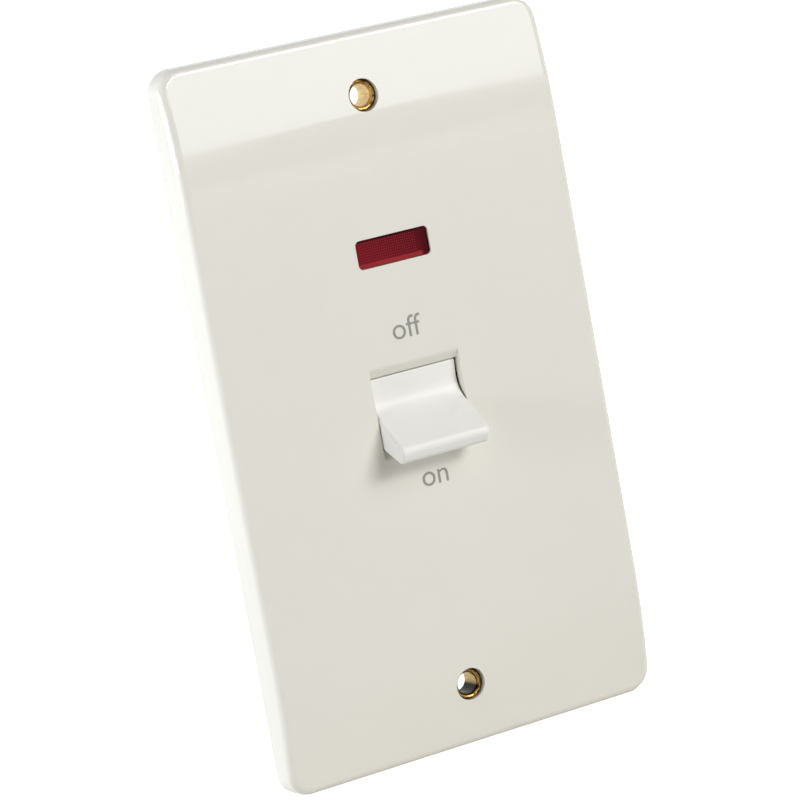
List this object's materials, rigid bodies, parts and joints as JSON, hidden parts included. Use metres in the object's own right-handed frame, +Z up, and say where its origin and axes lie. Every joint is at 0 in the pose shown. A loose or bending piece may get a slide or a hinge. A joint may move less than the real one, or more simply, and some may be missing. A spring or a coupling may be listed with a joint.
{
  "type": "double pole switch",
  "caption": "Tall white moulded wall plate with a wedge rocker switch, a red neon window and brass eyelet fixing holes, with its contact mechanism and cable terminals behind.",
  "frame": {"origin": "centre of the fixing hole pattern, at the middle of the plate on the wall plane", "axes": "+Z up along the plate's long side, +X to the right seen from the front, the face looks to -Y and the mechanism lies at +Y"},
  "size_m": [0.086, 0.0358, 0.146],
  "materials": {
    "plate_plastic": "glossy white moulding",
    "rocker_plastic": "glossy white moulding",
    "lens_red": "deep red moulded lens",
    "base_plastic": "satin black heat-set moulding",
    "holder_plastic": "satin white moulding",
    "nylon": "natural nylon",
    "brass": "bright turned brass",
    "copper": "plain copper bar",
    "silver": "silver contact face",
    "steel": "zinc plated steel",
    "lamp_glass": "clear neon bulb",
    "resistor_coat": "tan lacquer",
    "lead_sleeve": "pale plastic sleeve"
  },
  "bodies": {
    "housing": {"front_plate": "plate_plastic", "neon_lens": "lens_red", "switch_base": "base_plastic", "lamp_holder": "holder_plastic", "neon_lamp": "lamp_glass", "lamp_resistor": "resistor_coat", "lamp_leads": "lead_sleeve", "upper_eyelet": "brass", "lower_eyelet": "brass", "earth_strap": "brass", "earth_terminal": "brass", "earth_screw": "steel", "terminal_screws": "steel", "base_screws": "steel", "left_fixed_contact": "silver", "left_load_strip": "brass", "left_supply_bridge": "brass", "left_load_terminal": "brass", "left_supply_terminal": "brass", "right_fixed_contact": "silver", "right_load_strip": "brass", "right_supply_bridge": "brass", "right_load_terminal": "brass", "right_supply_terminal": "brass"},
    "rocker": {"rocker": "rocker_plastic", "left_spring": "steel", "right_spring": "steel"},
    "left_plunger": {"left_plunger": "nylon"},
    "left_seesaw": {"left_seesaw": "copper", "left_moving_contact": "silver"},
    "right_plunger": {"right_plunger": "nylon"},
    "right_seesaw": {"right_seesaw": "copper", "right_moving_contact": "silver"}
  },
  "joints": [
    {"name": "rocker_turn", "type": "hinge", "parent": "housing", "child": "rocker", "pos_m": [0, 0.0002, -0.0022], "axis": [-1, 0, 0], "range_deg": [0, 60]},
    {"name": "left_seesaw_turn", "type": "hinge", "parent": "housing", "child": "left_seesaw", "pos_m": [0, 0.0125, -0.0022], "axis": [1, 0, 0], "range_deg": [0, 14]},
    {"name": "left_plunger_slide", "type": "slide", "parent": "rocker", "child": "left_plunger", "axis": [0, -0.866, -0.5], "range_m": [0, 0.0012], "stiffness_N_per_m": 800, "deforming": ["left_spring"]},
    {"name": "right_seesaw_turn", "type": "hinge", "parent": "housing", "child": "right_seesaw", "pos_m": [0, 0.0125, -0.0022], "axis": [1, 0, 0], "range_deg": [0, 14]},
    {"name": "right_plunger_slide", "type": "slide", "parent": "rocker", "child": "right_plunger", "axis": [0, -0.866, -0.5], "range_m": [0, 0.0012], "stiffness_N_per_m": 800, "deforming": ["right_spring"]}
  ],
  "couplings": [
    {"joint": "left_seesaw_turn", "follows": "rocker_turn", "ratio": 0.2333},
    {"joint": "right_seesaw_turn", "follows": "rocker_turn", "ratio": 0.2333}
  ]
}
